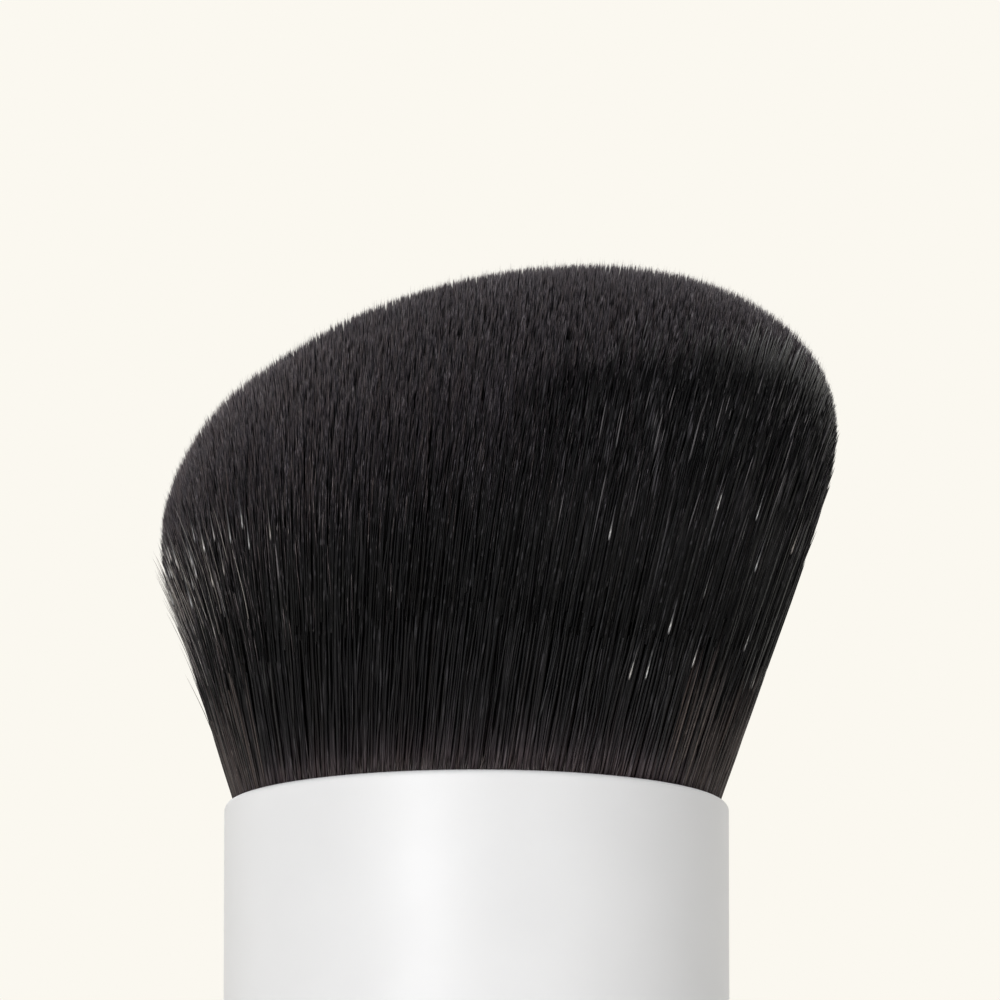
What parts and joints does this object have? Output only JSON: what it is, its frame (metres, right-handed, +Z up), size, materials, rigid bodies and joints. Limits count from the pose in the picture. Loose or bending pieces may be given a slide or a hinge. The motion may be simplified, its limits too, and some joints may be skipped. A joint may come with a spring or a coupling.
{
  "type": "buffing brush",
  "caption": "Buffing brush for face make-up: a dense black tuft with a slanted domed crown, in a straight white satin cylinder that stands on its base.",
  "frame": {"origin": "centre of the face that the brush stands on, on the casing's axis", "axes": "+Z up along the casing, towards the tuft; +X towards the tall side of the slanted crown"},
  "size_m": [0.0471, 0.0448, 0.1137],
  "materials": {
    "lacquer_white": "satin white lacquer on drawn aluminium tube",
    "abs_white": "moulded white ABS with a fine spark texture",
    "elastomer_grey": "moulded grey elastomer, matt",
    "beech": "turned beech, unfinished",
    "foam_charcoal": "open-cell foam, cut",
    "ballast_steel": "turned steel, zinc-plated",
    "screw_steel": "bright zinc plating",
    "brass": "plain turned brass",
    "nylon_black": "moulded black nylon",
    "resin_amber": "cast amber resin",
    "binding_cord": "waxed twisted cord",
    "filament_black": "black PBT filament, fine and densely packed, tips feathered and lighter"
  },
  "bodies": {
    "root": {"bristle_tuft": "filament_black", "ferrule": "lacquer_white", "handle_tube": "lacquer_white", "base_plug": "abs_white", "base_pad": "elastomer_grey", "handle_core": "beech", "ballast_weight": "ballast_steel", "foam_disc_lower": "foam_charcoal", "foam_disc_upper": "foam_charcoal", "knot_cup": "nylon_black", "resin_bed": "resin_amber", "root_binding": "binding_cord", "clamp_screw": "screw_steel", "clamp_washer": "screw_steel", "threaded_insert": "brass"}
  },
  "joints": []
}
